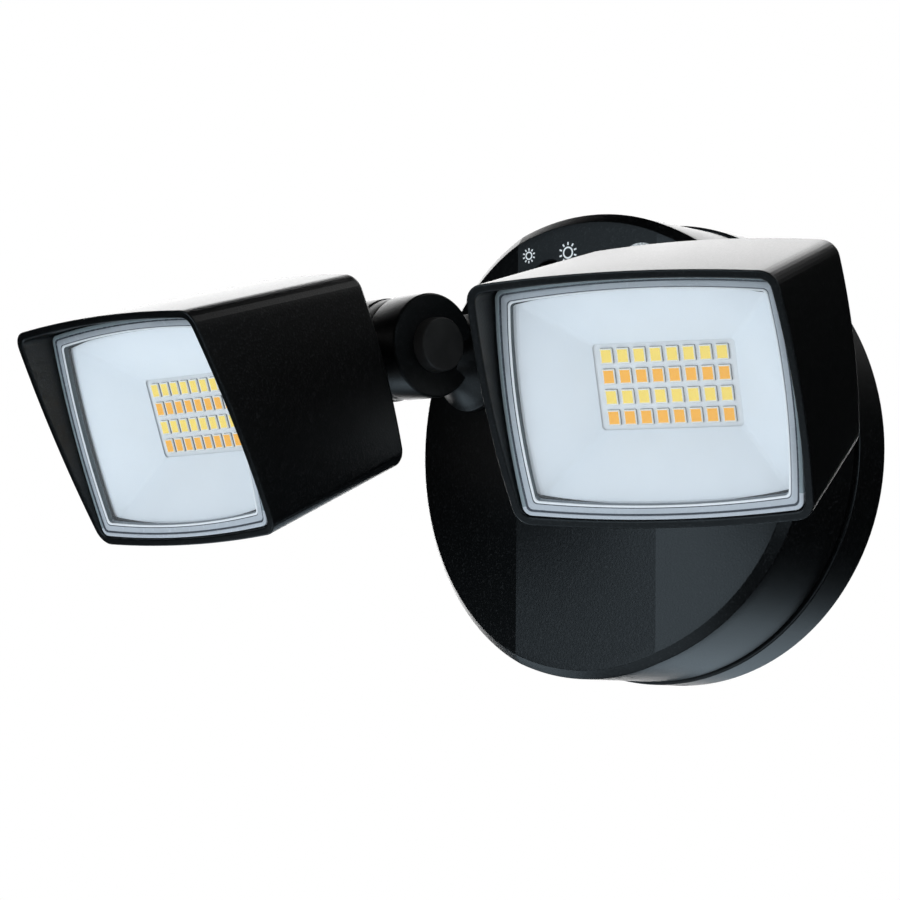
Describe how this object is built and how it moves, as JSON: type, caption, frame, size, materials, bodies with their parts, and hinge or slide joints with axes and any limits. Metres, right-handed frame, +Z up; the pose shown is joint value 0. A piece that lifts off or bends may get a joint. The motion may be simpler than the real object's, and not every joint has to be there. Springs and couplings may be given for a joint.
{
  "type": "motion sensor security light",
  "caption": "Round wall light with a motion sensor in its drum and lamp heads on swivelling, tilting knuckle arms.",
  "frame": {"origin": "centre of the mounting bar's back face, on the wall, midway between the slots for the wall screws", "axes": "+Z up, -Y out from the wall towards the viewer, +X to the viewer's right"},
  "size_m": [0.2182, 0.1484, 0.1156],
  "materials": {
    "black_paint": "fine-textured satin black powder coat over die-cast aluminium",
    "white_reflector": "glossy white moulded plastic",
    "clear_lens": "clear polycarbonate window with a frosted rim",
    "solder_mask_white": "white solder mask over an aluminium board",
    "phosphor": "yellow to orange phosphor in a white package",
    "seal_rubber": "soft black silicone rubber",
    "black_plastic": "satin black moulded plastic",
    "grey_plastic": "light grey moulded plastic",
    "lens_plastic": "milky moulded polyethylene with fine facets",
    "plated_steel": "zinc plated steel",
    "sensor_can": "nickel plated can",
    "earth_green": "green dyed steel",
    "board_green": "green glass-fibre laminate",
    "component_black": "moulded component cases",
    "sink_aluminium": "bare extruded aluminium"
  },
  "bodies": {
    "base": {"mounting_bar": "plated_steel", "earth_screw": "earth_green", "wall_gasket": "seal_rubber", "canopy": "black_paint", "canopy_lock_screws": "plated_steel", "wire_grommet": "seal_rubber", "drum_seal": "seal_rubber", "drum_housing": "black_paint", "drum_screws": "plated_steel", "sensor_lens": "lens_plastic", "control_board": "board_green", "sensor_element": "sensor_can", "potentiometers": "component_black", "board_screws": "plated_steel", "driver_board": "board_green", "driver_transformer": "component_black", "driver_capacitors": "component_black", "left_arm_washer": "plated_steel", "right_arm_washer": "plated_steel"},
    "left_arm": {"left_arm": "black_paint", "left_arm_nut": "plated_steel", "left_pivot_screw": "plated_steel", "left_pivot_cap": "black_plastic"},
    "left_head": {"left_head_housing": "black_paint", "left_friction_ring": "black_plastic", "left_pivot_nut": "plated_steel", "left_lens": "clear_lens", "left_lens_gasket": "seal_rubber", "left_reflector": "white_reflector", "left_led_board": "solder_mask_white", "left_leds": "phosphor", "left_heat_sink": "sink_aluminium", "left_head_screws": "plated_steel"},
    "right_arm": {"right_arm": "black_paint", "right_arm_nut": "plated_steel", "right_pivot_screw": "plated_steel", "right_pivot_cap": "black_plastic"},
    "right_head": {"right_head_housing": "black_paint", "right_friction_ring": "black_plastic", "right_pivot_nut": "plated_steel", "right_lens": "clear_lens", "right_lens_gasket": "seal_rubber", "right_reflector": "white_reflector", "right_led_board": "solder_mask_white", "right_leds": "phosphor", "right_heat_sink": "sink_aluminium", "right_head_screws": "plated_steel"},
    "dusk_knob": {"dusk_knob": "grey_plastic"},
    "time_knob": {"time_knob": "grey_plastic"}
  },
  "joints": [
    {"name": "left_swivel", "type": "hinge", "parent": "base", "child": "left_arm", "pos_m": [-0.0361, -0.04353, 0.0225], "axis": [0.2079, 0.9781, 0], "range_deg": [-10, 90]},
    {"name": "left_tilt", "type": "hinge", "parent": "left_arm", "child": "left_head", "pos_m": [-0.03993, -0.06153, 0.0252], "axis": [-0.9781, 0.2079, 0], "range_deg": [-50, 35]},
    {"name": "right_swivel", "type": "hinge", "parent": "base", "child": "right_arm", "pos_m": [0.0361, -0.04353, 0.0225], "axis": [0.2079, -0.9781, 0], "range_deg": [-10, 90]},
    {"name": "right_tilt", "type": "hinge", "parent": "right_arm", "child": "right_head", "pos_m": [0.03993, -0.06153, 0.0252], "axis": [-0.9781, -0.2079, 0], "range_deg": [-50, 35]},
    {"name": "dusk_knob_turn", "type": "hinge", "parent": "base", "child": "dusk_knob", "pos_m": [-0.0115, -0.0424, 0.04075], "axis": [0, -1, 0], "range_deg": [-135, 135]},
    {"name": "time_knob_turn", "type": "hinge", "parent": "base", "child": "time_knob", "pos_m": [0.0135, -0.0424, 0.04075], "axis": [0, -1, 0], "range_deg": [-135, 135]}
  ]
}
